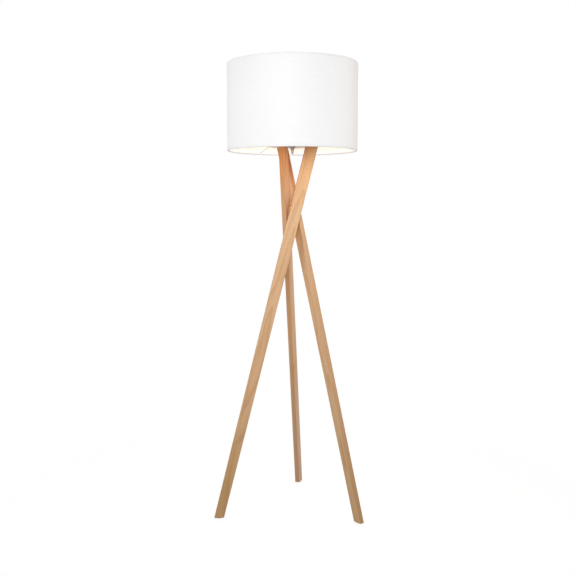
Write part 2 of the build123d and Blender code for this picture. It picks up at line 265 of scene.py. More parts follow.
class LAMP_PG_fittings(bpy.types.PropertyGroup):
    """Gland, lamp holder, clamp ring, screws and pads."""

    nickel: colour("Nickel", "Satin nickel plate", screen(196, 182, 170))
    dark_nickel: colour("Dark nickel", "Duller nickel of the gland's nut and washer", screen(158, 147, 140))
    stem: colour("Gland stem", "Tinned brass of the gland's stem", screen(172, 146, 130))
    zinc: colour("Zinc", "Zinc plated steel", screen(196, 198, 200))
    brass: colour("Brass", "Pressed brass sheet", screen(214, 170, 92))
    plastic: colour("Plastic", "White moulded holder", screen(236, 233, 226))
    ceramic: colour("Contact block", "Block under the contacts", screen(232, 228, 216))
    felt: colour("Felt", "Pads under the feet", screen(214, 203, 184))
    sleeve_pitch: length("Sleeve pitch", "Pitch of the holder's outer thread", 0.0026)
    sleeve_depth: length("Sleeve depth", "Depth of the holder's outer thread", 0.0008)


class LAMP_PG_bulb(bpy.types.PropertyGroup):
    """Screw-in bulb."""

    thread_pitch: length("Thread pitch", "Rise of the bulb in one turn", 0.00363)
    thread_depth: length("Thread depth", "Depth of the rolled thread", 0.0009)
    thread_gap: length("Thread gap", "Room between the bulb's thread and the holder's", 0.0005)
    opal: colour("Opal", "Dome", screen(250, 247, 240))
    light: colour("Light", "Light of the dome", screen(255, 244, 226))
    light_strength: brightness("Light strength", "Brightness of the dome", 0.5)
    housing: colour("Housing", "White body", screen(240, 240, 238))
    insulator: colour("Insulator", "Black glass round the tip", screen(32, 32, 34))
    board: colour("Board", "Coated plate under the dome", screen(232, 232, 228))
    chip: colour("Chip", "Yellow light chips", screen(244, 214, 110))


class LAMP_PG_stage(bpy.types.PropertyGroup):
    """Floor, light and camera."""

    camera_distance: length("Camera distance", "Level distance from the lamp's axis", 2.93122)
    camera_height: length("Camera height", "Height above the floor", 1.05769)
    camera_turn: angle("Camera turn", "Azimuth of the camera from -Y", 5.2587)
    camera_yaw: angle("Camera yaw", "Turn to the left of the lamp's axis", 0.2955)
    camera_tilt: angle("Camera tilt", "Tilt below the horizon", 5.2478)
    camera_lens: FloatProperty(
        name="Lens", description="Focal length in millimetres", default=52.312, min=1, unit="CAMERA"
    )
    floor_radius: length("Floor radius", "Size of the floor", 12.0)
    shadow_radius: length("Shadow radius", "Out to here the floor shows the lamp's whole shadow", 0.45)
    shadow_end: length("Shadow end", "From here on the floor is plain white", 1.35)
    floor: colour("Floor", "Pale floor", screen(160, 160, 160))
    floor_lift: share("Floor lift", "How much of the floor's white is its own", 0.74)
    sky: brightness("Sky", "Strength of the light from all round", 0.21)
    box_turn: angle("Soft box turn", "Azimuth of a soft box at the side from the X axis", 30)
    box_distance: length("Soft box distance", "Level distance of a soft box from the lamp", 1.6)
    box_height: length("Soft box height", "Height of a soft box's middle", 1.38)
    box_width: length("Soft box width", "Width of a soft box", 0.9)
    box_rise: length("Soft box rise", "Height of a soft box", 0.8)
    front_power: power("Front power", "Power of the soft box by the camera", 13.0)
    left_power: power("Left power", "Power of the soft box at the left", 8.8)
    right_power: power("Right power", "Power of the soft box at the right", 7.8)
    back_left_power: power("Back left power", "Power of the soft box behind at the left", 7.0)
    back_right_power: power("Back right power", "Power of the soft box behind at the right", 4.2)
    back_power: power("Back power", "Power of the soft box straight behind", 12.5)
    warm_power: power("Warm power", "Power of the warm light at the right", 3.8)
    warm_tint: colour("Warm tint", "Colour of the warm light at the right", (1.0, 0.7, 0.56))
    warm_turn: angle("Warm turn", "Azimuth of the warm light from +X", 18)


# Shader nodes

class Wire:
    """An output of a material's nodes; arithmetic on it adds the nodes that work it out."""

    def __init__(self, surface, socket):
        self.surface = surface
        self.socket = socket

    def reckon(self, operation, left, right):
        """Math on values, and Vector Math as soon as a vector or colour takes part."""
        plain = all(term.socket.type == "VALUE" for term in (left, right) if isinstance(term, Wire))
        plain = plain and not any(isinstance(term, tuple) for term in (left, right))
        kind = "ShaderNodeMath" if plain else "ShaderNodeVectorMath"
        if not plain:
            left, right = ((term,) * 3 if isinstance(term, (int, float)) else term for term in (left, right))
        return self.surface.add(kind, {"operation": operation}, {0: left, 1: right})

    def __add__(self, other):
        return self.reckon("ADD", self, other)

    __radd__ = __add__

    def __sub__(self, other):
        return self.reckon("SUBTRACT", self, other)

    def __rsub__(self, other):
        return self.reckon("SUBTRACT", other, self)

    def __mul__(self, other):
        return self.reckon("MULTIPLY", self, other)

    __rmul__ = __mul__

    def __truediv__(self, other):
        return self.reckon("DIVIDE", self, other)

    def __rtruediv__(self, other):
        return self.reckon("DIVIDE", other, self)

    def __pow__(self, other):
        return self.reckon("POWER", self, other)

    def __abs__(self):
        return self.surface.add("ShaderNodeMath", {"operation": "ABSOLUTE"}, {0: self})


class Surface:
    """A material or world under construction."""

    def __init__(self, holder):
        self.holder = holder
        holder.use_nodes = True
        self.nodes = holder.node_tree.nodes
        self.links = holder.node_tree.links
        self.nodes.clear()

    def add(self, kind, settings=None, sockets=None, out=0):
        """One node: its settings first, then the values or wires of its sockets. Gives one output."""
        node = self.nodes.new(kind)
        for name, value in (settings or {}).items():
            setattr(node, name, value)
        for socket, value in (sockets or {}).items():
            self.feed(node.inputs[socket], value)
        return Wire(self, node.outputs[out]) if len(node.outputs) else None

    def feed(self, socket, value):
        """A wire is linked to a socket, and a plain value is set on it."""
        if isinstance(value, Wire):
            self.links.new(value.socket, socket)
        elif socket.type == "RGBA":
            socket.default_value = (*value, 1)
        else:
            socket.default_value = value

    def mix(self, amount, first, second):
        """Colour between two colours."""
        return self.add("ShaderNodeMix", {"data_type": "RGBA"}, {0: amount, 6: first, 7: second}, out=2)

    def step(self, value, low, high):
        """0 below low, 1 above high, smooth between."""
        sockets = {"Value": value, "From Min": low, "From Max": high}
        return self.add("ShaderNodeMapRange", {"interpolation_type": "SMOOTHSTEP"}, sockets)

    def noise(self, vector, detail=2.0, roughness=0.5):
        """Soft noise from 0 to 1, about one swell to a unit of the vector."""
        sockets = {"Vector": vector, "Scale": 1.0, "Detail": detail, "Roughness": roughness}
        return self.add("ShaderNodeTexNoise", {}, sockets)

    def place(self):
        """Point of the surface in the lamp's own frame."""
        return self.add("ShaderNodeTexCoord", {}, {}, out="Object")

    def dot(self, vector, direction):
        """Length of a vector along a direction."""
        sockets = {0: vector, 1: direction}
        return self.add("ShaderNodeVectorMath", {"operation": "DOT_PRODUCT"}, sockets, out="Value")

    def combine(self, x, y, z):
        """Vector from three values."""
        return self.add("ShaderNodeCombineXYZ", {}, {0: x, 1: y, 2: z})

    def separate(self, vector):
        """The three values of a vector."""
        first = self.add("ShaderNodeSeparateXYZ", {}, {0: vector})
        return tuple(Wire(self, socket) for socket in first.socket.node.outputs)

    def sine(self, value):
        """Sine of a value in radians."""
        return self.add("ShaderNodeMath", {"operation": "SINE"}, {0: value})

    def bump(self, height, depth, strength=1.0):
        """Normal of a surface with that relief; depth is in metres."""
        return self.add("ShaderNodeBump", {}, {"Height": height, "Distance": depth, "Strength": strength})

    def finish(self, **sockets):
        """Principled surface; an argument's name is the socket's, in lower case with _ for a space."""
        shader = self.add("ShaderNodeBsdfPrincipled")
        inputs = {socket.name.lower().replace(" ", "_"): socket for socket in shader.socket.node.inputs}
        for name, value in sockets.items():
            self.feed(inputs[name], value)
        self.add("ShaderNodeOutputMaterial", {}, {"Surface": shader})
        return self.holder


def new_surface(name):
    """Empty material."""
    return Surface(bpy.data.materials.new(name))


def dress(nodes, material):
    """Gives CAD nodes a material."""
    for name in nodes:
        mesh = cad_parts[name].data
        mesh.materials.clear()
        mesh.materials.append(material)


# Finishes

def wood_finish(name, wood, middle, across, along, face, cut, lamplight_coats=1.0, floor_shade_coats=0.0):
    """Varnished pale wood with its grain along a board, with the lamp's warm light and shade painted in near
    the shade, and painted shade near the floor.
    """
    surface = new_surface(name)
    place = surface.place() - tuple(middle)
    x = surface.dot(place, tuple(across))
    y = surface.dot(place, tuple(along))
    z = surface.dot(place, tuple(face))
    board = surface.combine(x, y, z) + (cut, cut * 2, cut * 3)

    wander = surface.noise(board * WANDER) - 0.5
    ripple = surface.noise(board * RIPPLE, detail=3.0) - 0.5
    depth = z + wood.pith_distance + y * wood.pith_slant + wander * wood.ring_wander
    distance = (x * x + depth * depth) ** 0.5 + ripple * wood.ring_ripple
    saw = surface.add("ShaderNodeMath", {"operation": "FRACT"}, {0: distance / wood.ring_spacing})
    late = surface.step(saw, 0.35, 0.93) * (1.0 - surface.step(saw, 0.95, 1.0))

    streak = surface.noise(board * STREAK, detail=3.0)
    fibre = surface.noise(board * FIBRE, detail=3.0, roughness=0.65)
    fleck = surface.step(surface.noise(board * FLECK, detail=1.0), 0.66, 0.75)
    normal = surface.add("ShaderNodeNewGeometry", {}, {}, out="Normal")
    end = surface.step(abs(surface.dot(normal, tuple(along))), 0.55, 0.8)
    edge = surface.step(abs(surface.dot(normal, tuple(across))), 0.55, 0.85)

    tint = surface.mix(surface.step(streak, 0.3, 0.7), wood.pale, wood.warm)
    tint = surface.mix(late * 0.5 + (fibre - 0.5) * 0.5, tint, wood.ring)
    tint = surface.mix(fleck * 0.45, tint, wood.fleck)
    tint = surface.mix(end * 0.6, tint, wood.ring)
    tint = surface.mix(edge, tint, tint * tuple(wood.edge))
    # Painted warm lamplight and shade below the shade, then painted shade towards the floor
    _, _, height = surface.separate(surface.place())
    lamplit = surface.step(height, SHADE_BOTTOM - wood.lamplight_reach, SHADE_BOTTOM)
    tint = surface.mix(lamplit, tint, tint * laid(wood.lamplight_tint, lamplight_coats))
    low = 1.0 - surface.step(height, 0.0, wood.foot_reach)
    tint = surface.mix(low, tint, tint * laid(wood.foot, floor_shade_coats))
    relief = fibre * 0.6 - late * 0.3 - fleck * 0.5
    return surface.finish(
        base_color=tint,
        roughness=0.4 + fibre * 0.16 + late * 0.05,
        normal=surface.bump(relief, depth=0.00012),
        specular_ior_level=0.25,
        coat_weight=0.06,
        coat_roughness=0.35,
    )


def cloth_finish(shade, girth, drop):
    """White plain weave that lets a little lamp light through."""
    surface = new_surface("shade_cloth")
    u, v, _ = surface.separate(surface.add("ShaderNodeUVMap", {"uv_map": "cloth"}))
    ends = surface.sine(u * (pi / shade.thread_pitch))
    picks = surface.sine(v * (pi / shade.thread_pitch))
    weave = ends * picks * 0.5 + 0.5
    thick_picks = surface.noise(surface.combine(u * SLUB_ALONG, v * SLUB_ACROSS, 0.0))
    thick_ends = surface.noise(surface.combine(u * SLUB_ACROSS, v * SLUB_ALONG, 4.0))
    slub = surface.step((thick_picks + thick_ends) * 0.5, 0.36, 0.64)
    cloud = surface.noise(surface.combine(u * CLOTH_CLOUD, v * CLOTH_CLOUD, 2.0), detail=3.0)
    tone = (1.0 - weave) * 0.22 + slub * 0.22 + (cloud - 0.5) * 0.2

    from_middle = abs(v - drop / 2)

    def near_edge(end):
        """1 from a cut edge of the cloth to where a part of its hem ends."""
        return surface.step(from_middle, drop / 2 - end[1], drop / 2 - end[0])

    past_start = surface.step(u, shade.lap - LAP_FADE[0], shade.lap)
    before_end = 1.0 - surface.step(u, girth, girth + LAP_FADE[1])
    lapped = 1.0 - past_start * before_end
    dense = surface.add("ShaderNodeMath", {"operation": "MAXIMUM"}, {0: near_edge(HEM_END), 1: lapped})
    upper = 1.0 - surface.step(v, drop / 3, 2 * drop / 3)
    lit_fold = upper * (1.0 - shade.fold_glow) + shade.fold_glow
    inside = near_edge(STRIP_END) * (1.0 - lit_fold) + near_edge(FOLD_END) * lit_fold
    white = surface.mix(tone, shade.cloth, shade.thread_shadow)
    through = dimmed(shade.glow, shade.glow_through)
    stopped = dimmed(through, 0.4)
    glow = surface.mix(inside, surface.mix(dense * 0.8 + slub * 0.2, through, stopped), shade.glow)
    return surface.finish(
        base_color=white,
        roughness=0.82 + slub * 0.1,
        normal=surface.bump(weave * 0.6 + slub * 0.8, depth=0.00012, strength=0.8),
        specular_ior_level=0.25,
        sheen_weight=0.12,
        sheen_roughness=0.5,
        emission_color=glow,
        emission_strength=shade.glow_strength,
    )


def lining_finish(shade):
    """Cream lining sheet with the lamp's light on it."""
    surface = new_surface("shade_lining")
    place = surface.place()
    cloud = surface.noise(place * (14.0, 14.0, 7.0), detail=3.0)
    grain = surface.noise(place * 900.0, detail=1.0)
    warm = dimmed(shade.lining, 0.93)
    _, _, height = surface.separate(place)
    near_bulb = 1.0 - abs(height - (LINING_BOTTOM + LINING_TOP) / 2) / (LINING_TOP - LINING_BOTTOM)
    return surface.finish(
        base_color=surface.mix(surface.step(cloud, 0.3, 0.7), shade.lining, warm),
        roughness=0.5 + grain * 0.14,
        normal=surface.bump(grain, depth=0.00005),
        specular_ior_level=0.35,
        emission_color=surface.mix(near_bulb, dimmed(shade.glow, 0.75), shade.glow),
        emission_strength=shade.glow_strength,
    )


def coat_finish(name, tint, roughness, glow=(0.0, 0.0, 0.0)):
    """Paint or moulded plastic with a fine skin and a little dust, lit by the lamp or not."""
    surface = new_surface(name)
    place = surface.place()
    skin = surface.noise(place * 1700.0)
    cloud = surface.noise(place * 60.0, detail=3.0)
    return surface.finish(
        base_color=surface.mix(surface.step(cloud, 0.35, 0.75), tint, dimmed(tint, 0.9)),
        roughness=roughness - 0.06 + cloud * 0.12,
        normal=surface.bump(skin, depth=0.00004),
        specular_ior_level=0.45,
        emission_color=glow,
        emission_strength=1.0,
    )


def metal_finish(name, tint, roughness):
    """Plated metal, turned, with fine rings of tool marks and faint blotches."""
    surface = new_surface(name)
    x, y, z = surface.separate(surface.place())
    marks = surface.noise(surface.combine((x * x + y * y) ** 0.5, z, 0.0) * 2600.0)
    blotch = surface.noise(surface.combine(x, y, z) * 130.0, detail=3.0)
    return surface.finish(
        base_color=surface.mix(surface.step(blotch, 0.42, 0.72) * 0.6, tint, dimmed(tint, 0.78)),
        metallic=1.0,
        roughness=roughness - 0.07 + marks * 0.08 + blotch * 0.1,
        normal=surface.bump(marks, depth=0.00003),
    )


def felt_finish(tint):
    """Pressed felt with loose fibres."""
    surface = new_surface("pad_felt")
    place = surface.place()
    fibre = surface.noise(place * (1500.0, 1500.0, 600.0), detail=4.0, roughness=0.7)
    tuft = surface.noise(place * 260.0)
    return surface.finish(
        base_color=surface.mix(surface.step(fibre, 0.3, 0.7), dimmed(tint, 0.62), tint),
        roughness=0.88 + fibre * 0.1,
        normal=surface.bump(fibre * 0.5 + tuft, depth=0.0004),
        specular_ior_level=0.15,
        sheen_weight=0.3,
    )


def opal_finish(bulb):
    """Opal dome, lit from inside."""
    surface = new_surface("bulb_opal")
    place = surface.place()
    cloud = surface.noise(place * 70.0)
    skin = surface.noise(place * 800.0, detail=1.0)
    return surface.finish(
        base_color=surface.mix(cloud, bulb.opal, dimmed(bulb.opal, 0.94)),
        roughness=0.3 + cloud * 0.1,
        normal=surface.bump(skin, depth=0.00002),
        emission_color=surface.mix(cloud, bulb.light, dimmed(bulb.light, 0.86)),
        emission_strength=bulb.light_strength,
    )


# Meshes

def new_piece(name, points, faces, body, material, sharp):
    """Mesh object that moves with a CAD body and wears the given finish."""
    mesh = bpy.data.meshes.new(name)
    mesh.from_pydata(points, [], faces)
    mesh.validate()
    mesh.shade_smooth()
    mesh.set_sharp_from_angle(angle=sharp)
    mesh.materials.append(material)
    piece = bpy.data.objects.new(name, mesh)
    bpy.context.scene.collection.objects.link(piece)
    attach(piece, body)
    return piece


def lathe(outline, columns, push=None):
    """Points and faces of a closed outline of radius and height, turned about the lamp's axis.

    push gives how far a point is moved outwards, from its place in the outline, azimuth and height."""
    points = []
    for column in range(columns):
        azimuth = tau * column / columns
        for row, (radius, height) in enumerate(outline):
            reach = radius + (push(row, azimuth, height) if push else 0)
            points.append((reach * cos(azimuth), reach * sin(azimuth), height))
    rows = len(outline)
    faces = []
    for column in range(columns):
        here = column * rows
        there = (column + 1) % columns * rows
        for row in range(rows):
            after = (row + 1) % rows
            faces.append((here + row, there + row, there + after, here + after))
    return points, faces


def thread_wave(azimuth, height, pitch):
    """1 on the crest and 0 in the groove of a right-handed round thread."""
    return 0.5 + 0.5 * cos(tau * (height / pitch - azimuth / tau))


def run_out(height, low, high, fade):
    """Falls from 1 to 0 towards both ends of a thread."""
    return ease(min(height - low, high - height) / fade)


def heights(low, high, step):
    """Even heights from low to high, about a step apart."""
    count = max(1, round((high - low) / step))
    return [low + (high - low) * place / count for place in range(count + 1)]


# The shade's cloth

def cloth_profile(shade):
    """Middle line of the cloth from one turned-in hem over the wall to the other.

    Each row is radius, height, outward normal, length from the start, and the angle round the lower wire."""
    half = shade.cloth_thickness / 2
    wire = (TOP_WIRE_HIGH - TOP_WIRE_LOW) / 2
    ring = WIRE_REACH - wire
    fold = SHADE_RADIUS - half - ring
    top = (TOP_WIRE_HIGH + TOP_WIRE_LOW) / 2
    low = (LOW_WIRE_HIGH + LOW_WIRE_LOW) / 2
    past = pi + shade.hem_turn
    arc = [past * step / FOLD_STEPS for step in range(FOLD_STEPS + 1)]
    inner = LINING_BORE - half - LINING_ROOM
    start = ring + fold * cos(past)
    strip = (inner - start) / sin(shade.hem_turn)
    runs = [strip * step / STRIP_STEPS for step in range(STRIP_STEPS, 0, -1)]
    wall = heights(low, top, CLOTH_STEP)[-2:0:-1]

    def strip_point(run, middle, side):
        radius = start + run * sin(shade.hem_turn)
        height = middle + side * (fold * sin(past) - run * cos(shade.hem_turn))
        return radius, height, -cos(shade.hem_turn), -side * sin(shade.hem_turn)

    rows = [(*strip_point(run, top, 1), 0.0) for run in runs]
    rows += [(ring + fold * cos(a), top + fold * sin(a), cos(a), sin(a), 0.0) for a in reversed(arc)]
    rows += [(SHADE_RADIUS - half, height, 1.0, 0.0, 0.0) for height in wall]
    rows += [(ring + fold * cos(a), low - fold * sin(a), cos(a), -sin(a), a) for a in arc]
    rows += [(*strip_point(run, low, -1), past) for run in reversed(runs)]
    gone = 0.0
    profile = []
    for row in rows:
        if profile:
            gone += hypot(row[0] - profile[-1][0], row[1] - profile[-1][1])
        profile.append((*row[:4], gone, row[4]))
    return profile


def cloth_columns(shade, girth):
    """Azimuths of the cloth's columns from its start to past the lap, with the edges of each notch."""
    start = shade.lap_azimuth
    end = start + tau * (girth + shade.lap) / girth
    steps = [step / CLOTH_COLUMNS for step in range(CLOTH_COLUMNS + 1)]
    columns = {round(start + (end - start) * step, 9) for step in steps}
    half = shade.notch / 2 / SHADE_RADIUS
    clear = half * 1.3
    notches = []
    for node in SPOKE_NODES:
        centre = start + (far_azimuth(node) - start) % tau
        columns = {azimuth for azimuth in columns if abs(azimuth - centre) > clear}
        columns |= {centre - half, centre + half}
        notches.append(centre)
    return sorted(columns), notches


def cloth_piece(shade, material, profile, girth):
    """The cloth as one sheet: hems rolled over the wires, notched at the spokes and lapped at the back."""
    columns, notches = cloth_columns(shade, girth)
    start = shade.lap_azimuth
    lift = shade.cloth_thickness * LAP_LIFT
    points, weave = [], []
    for azimuth in columns:
        u = (azimuth - start) / tau * girth
        raised = lift * ease((u - girth + shade.lap_rise) / shade.lap_rise)
        for radius, height, out, up, v, _ in profile:
            inside = max(0.0, -out)
            slack = SLACK[0] * sin(7 * azimuth + 9 * v) + SLACK[1] * sin(17 * azimuth - 21 * v)
            pucker = inside * PUCKER * sin(91 * azimuth + 40 * v)
            reach = radius + (raised + slack * max(0.0, out) + pucker) * out
            points.append((reach * cos(azimuth), reach * sin(azimuth), height + raised * up))
            weave.append((u, v))
    rows = len(profile)
    faces = []
    half = shade.notch / 2 / SHADE_RADIUS
    for column in range(len(columns) - 1):
        middle = (columns[column] + columns[column + 1]) / 2
        notched = any(abs(middle - centre) < half for centre in notches)
        for row in range(rows - 1):
            if notched and profile[row][5] > NOTCH_TURN:
                continue
            here = column * rows + row
            faces.append((here, here + 1, here + rows + 1, here + rows))
    piece = new_piece("drum_cloth", points, faces, "shade", material, sharp=radians(80))
    layer = piece.data.uv_layers.new(name="cloth")
    for loop in piece.data.loops:
        layer.data[loop.index].uv = weave[loop.vertex_index]
    thicken = piece.modifiers.new("thickness", "SOLIDIFY")
    thicken.thickness = shade.cloth_thickness
    thicken.offset = 0
    return piece


# Threaded pieces

def rolled_groove(bulb, azimuth, height, low, high):
    """How far the rolled thread of the bulb's cap and of its shell stands back from the crest."""
    groove = 1 - thread_wave(azimuth, height, bulb.thread_pitch)
    return -bulb.thread_depth * groove * run_out(height, low, high, bulb.thread_pitch * ROLLED_RUN_OUT)


def cap_outline(bulb):
    """Rolled cap of the bulb: curled in at the insulator, threaded, plain at the collar."""
    wall = CAP_RADIUS - CAP_BORE
    curl = 0.0016
    collar = 0.0022
    turns = [pi / 2 * step / CURL_STEPS for step in range(CURL_STEPS + 1)]
    rows = heights(CAP_BOTTOM + curl, CAP_TOP, bulb.thread_pitch / THREAD_ROWS)
    outer = [(CAP_RADIUS - curl * (1 - sin(a)), CAP_BOTTOM + curl * (1 - cos(a))) for a in turns]
    outer += [(CAP_RADIUS, height) for height in rows[1:]]
    inner = [(CAP_BORE - bulb.thread_depth, CAP_TOP), (CAP_BORE - bulb.thread_depth, CAP_BOTTOM + wall)]
    return outer + inner, len(outer), CAP_BOTTOM + curl, CAP_TOP - collar


def cap_piece(bulb, material):
    """Bulb cap with its rolled thread."""
    outline, threaded, low, high = cap_outline(bulb)

    def push(row, azimuth, height):
        if row >= threaded or not low < height < high:
            return 0.0
        return rolled_groove(bulb, azimuth, height, low, high)

    points, faces = lathe(outline, LATHE_COLUMNS, push)
    return new_piece("bulb_screw_cap", points, faces, "bulb", material, sharp=radians(60))


def shell_piece(bulb, material):
    """Holder's pressed shell, whose thread follows the bulb's with a little room."""
    wall = 0.0006
    foot = 0.001
    bore = CAP_RADIUS + bulb.thread_gap
    rows = heights(SHELL_BOTTOM, SHELL_TOP, bulb.thread_pitch / THREAD_ROWS)
    inner = [(bore, height) for height in reversed(rows)]
    outer = [(bore + wall, height) for height in rows if height > SHELL_BOTTOM + foot]
    outline = inner + [(SHELL_FOOT_RADIUS, SHELL_BOTTOM), (SHELL_FOOT_RADIUS, SHELL_BOTTOM + foot)] + outer
    plain = (len(inner), len(inner) + 1)

    def push(row, azimuth, height):
        if row in plain:
            return 0.0
        return rolled_groove(bulb, azimuth, height, SHELL_BOTTOM + foot, SHELL_TOP)

    points, faces = lathe(outline, LATHE_COLUMNS, push)
    return new_piece("holder_shell", points, faces, "stand", material, sharp=radians(60))


class HolderSleeve:
    """Sizes of the holder's threaded body, from its CAD node."""

    def __init__(self):
        points = node_points("holder_body")
        radius = np.hypot(points[:, 0], points[:, 1])
        near = 0.1 * MILLIMETRE
        self.low, self.high = float(points[:, 2].min()), float(points[:, 2].max())
        self.spigot_bore = float(radius.min())
        self.seat_radius = float(radius.max())
        seat = points[radius > self.seat_radius - near][:, 2]
        self.chamfer = 0.4 * MILLIMETRE
        self.seat_low = float(seat.min()) - self.chamfer
        self.seat_high = float(seat.max()) + self.chamfer
        rim = radius[points[:, 2] > self.high - near]
        self.bore, self.thread_radius = float(rim.min()), float(rim.max())
        spigot = radius[points[:, 2] < self.low + near]
        self.spigot_radius = float(spigot.max())


def sleeve_piece(fittings, material):
    """Holder body: spigot, seat for the shade and the threaded sleeve."""
    size = HolderSleeve()
    edge = size.chamfer
    rows = heights(size.seat_high, size.high - edge, fittings.sleeve_pitch / THREAD_ROWS)
    low, high = size.seat_high + 1.0 * MILLIMETRE, size.high - 1.2 * MILLIMETRE
    outline = [
        (size.spigot_bore, size.low),
        (size.spigot_radius, size.low),
        (size.spigot_radius, size.seat_low),
        (size.seat_radius - edge, size.seat_low),
        (size.seat_radius, size.seat_low + edge),
        (size.seat_radius, size.seat_high - edge),
        (size.seat_radius - edge, size.seat_high),
    ]
    first = len(outline)
    outline += [(size.thread_radius, height) for height in rows]
    last = len(outline)
    outline += [
        (size.thread_radius - edge, size.high),
        (size.bore + edge, size.high),
        (size.bore, size.high - edge),
        (size.bore, size.seat_low),
        (size.spigot_bore, size.seat_low),
    ]

    def push(row, azimuth, height):
        if not first <= row < last:
            return 0.0
        wave = thread_wave(azimuth, height, fittings.sleeve_pitch)
        groove = max(0.0, min(1.0, SLEEVE_GROOVE * (1 - wave) - SLEEVE_CREST))
        fade = run_out(height, low, high, fittings.sleeve_pitch * SLEEVE_RUN_OUT)
        return -fittings.sleeve_depth * groove * fade

    points, faces = lathe(outline, LATHE_COLUMNS, push)
    return new_piece("holder_sleeve", points, faces, "stand", material, sharp=radians(50))


# Operators

class LAMP_OT_legs(bpy.types.Operator):
    """Grain of the three leg boards, each along its own leg, and of the block and dowels between them"""

    bl_idname = "lamp.legs"
    bl_label = "Legs"

    def execute(self, context):
        wood = context.scene.lamp_wood
        for place, (node, painted_light) in enumerate(LEG_PAINTED_LIGHT.items()):
            grain = wood_finish("wood_" + node, wood, *board_axes(node), LEG_CUT * place, *painted_light)
            dress((node,), grain)
        upright = (Vector((0, 0, 1)), Vector((1, 0, 0)), Vector((0, 0, 1)), Vector((0, 1, 0)))
        dress(("waist_block", "waist_dowels"), wood_finish("wood_block", wood, *upright, BLOCK_CUT))
        return {"FINISHED"}


class LAMP_OT_pads(bpy.types.Operator):
    """Felt pads under the feet"""

    bl_idname = "lamp.pads"
    bl_label = "Foot pads"

    def execute(self, context):
        dress(PAD_NODES, felt_finish(context.scene.lamp_fittings.felt))
        return {"FINISHED"}


class LAMP_OT_plate(bpy.types.Operator):
    """Round wooden plate on the legs, with its screws, pipe, washers, nut and cord gland"""

    bl_idname = "lamp.plate"
    bl_label = "Plate and gland"

    def execute(self, context):
        wood = context.scene.lamp_wood
        fittings = context.scene.lamp_fittings
        low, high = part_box("top_plate")
        flat = ((low + high) / 2, Vector((0.6, 0.8, 0)), Vector((-0.8, 0.6, 0)), Vector((0, 0, 1)))
        dress(("top_plate",), wood_finish("wood_plate", wood, *flat, PLATE_CUT, PLATE_LAMPLIGHT))
        zinc = metal_finish("zinc_steel", fittings.zinc, PLATED)
        dress(("top_plate_screws", "lamp_pipe", "washer_upper", "lock_nut"), zinc)
        dress(("washer_lower", "gland_body"), metal_finish("dark_nickel", fittings.dark_nickel, PLATED))
        dress(("gland_cone",), metal_finish("tinned_brass", fittings.stem, PLATED))
        return {"FINISHED"}


class LAMP_OT_holder(bpy.types.Operator):
    """Lamp holder with its threaded sleeve, contacts and the ring that clamps the shade"""

    bl_idname = "lamp.holder"
    bl_label = "Lamp holder"

    def execute(self, context):
        fittings = context.scene.lamp_fittings
        plastic = coat_finish("holder_plastic", fittings.plastic, 0.42)
        dress(("holder_cap", "clamp_ring"), plastic)
        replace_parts(sleeve_piece(fittings, plastic), "holder_body")
        brass = metal_finish("pressed_brass", fittings.brass, 0.3)
        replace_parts(shell_piece(context.scene.lamp_bulb, brass), "screw_shell")
        dress(("centre_contact",), brass)
        dress(("terminal_screws",), metal_finish("terminal_zinc", fittings.zinc, PLATED))
        dress(("contact_block",), coat_finish("contact_block", fittings.ceramic, 0.35))
        return {"FINISHED"}


class LAMP_OT_shade(bpy.types.Operator):
    """Drum shade: cloth, lining, wire rings, spokes and fitter ring"""

    bl_idname = "lamp.shade"
    bl_label = "Drum shade"

    def execute(self, context):
        shade = context.scene.lamp_shade
        girth = tau * SHADE_RADIUS
        profile = cloth_profile(shade)
        drop = profile[-1][4]
        cloth = cloth_piece(shade, cloth_finish(shade, girth, drop), profile, girth)
        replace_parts(cloth, "shade_fabric")
        dress(("shade_liner",), lining_finish(shade))
        lamplight = dimmed(shade.glow, shade.glow_strength * shade.wire_glow)
        wire = coat_finish("white_wire", shade.wire, 0.38, lamplight)
        dress((*RING_NODES, *SPOKE_NODES, "fitter_ring"), wire)
        return {"FINISHED"}


class LAMP_OT_bulb(bpy.types.Operator):
    """Screw-in bulb: tip, insulator, rolled cap, housing, light board and opal dome"""

    bl_idname = "lamp.bulb"
    bl_label = "Bulb"

    def execute(self, context):
        bulb = context.scene.lamp_bulb
        fittings = context.scene.lamp_fittings
        cap = cap_piece(bulb, metal_finish("cap_nickel", fittings.nickel, 0.26))
        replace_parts(cap, "bulb_cap")
        dress(("bulb_tip",), metal_finish("tip_solder", fittings.zinc, 0.4))
        dress(("bulb_insulator",), coat_finish("black_glass", bulb.insulator, 0.2))
        dress(("bulb_housing",), coat_finish("bulb_white", bulb.housing, 0.34))
        dress(("light_board",), coat_finish("light_board", bulb.board, 0.45))
        dress(("light_chips",), coat_finish("light_chip", bulb.chip, 0.3))
        dress(("bulb_dome",), opal_finish(bulb))
        return {"FINISHED"}


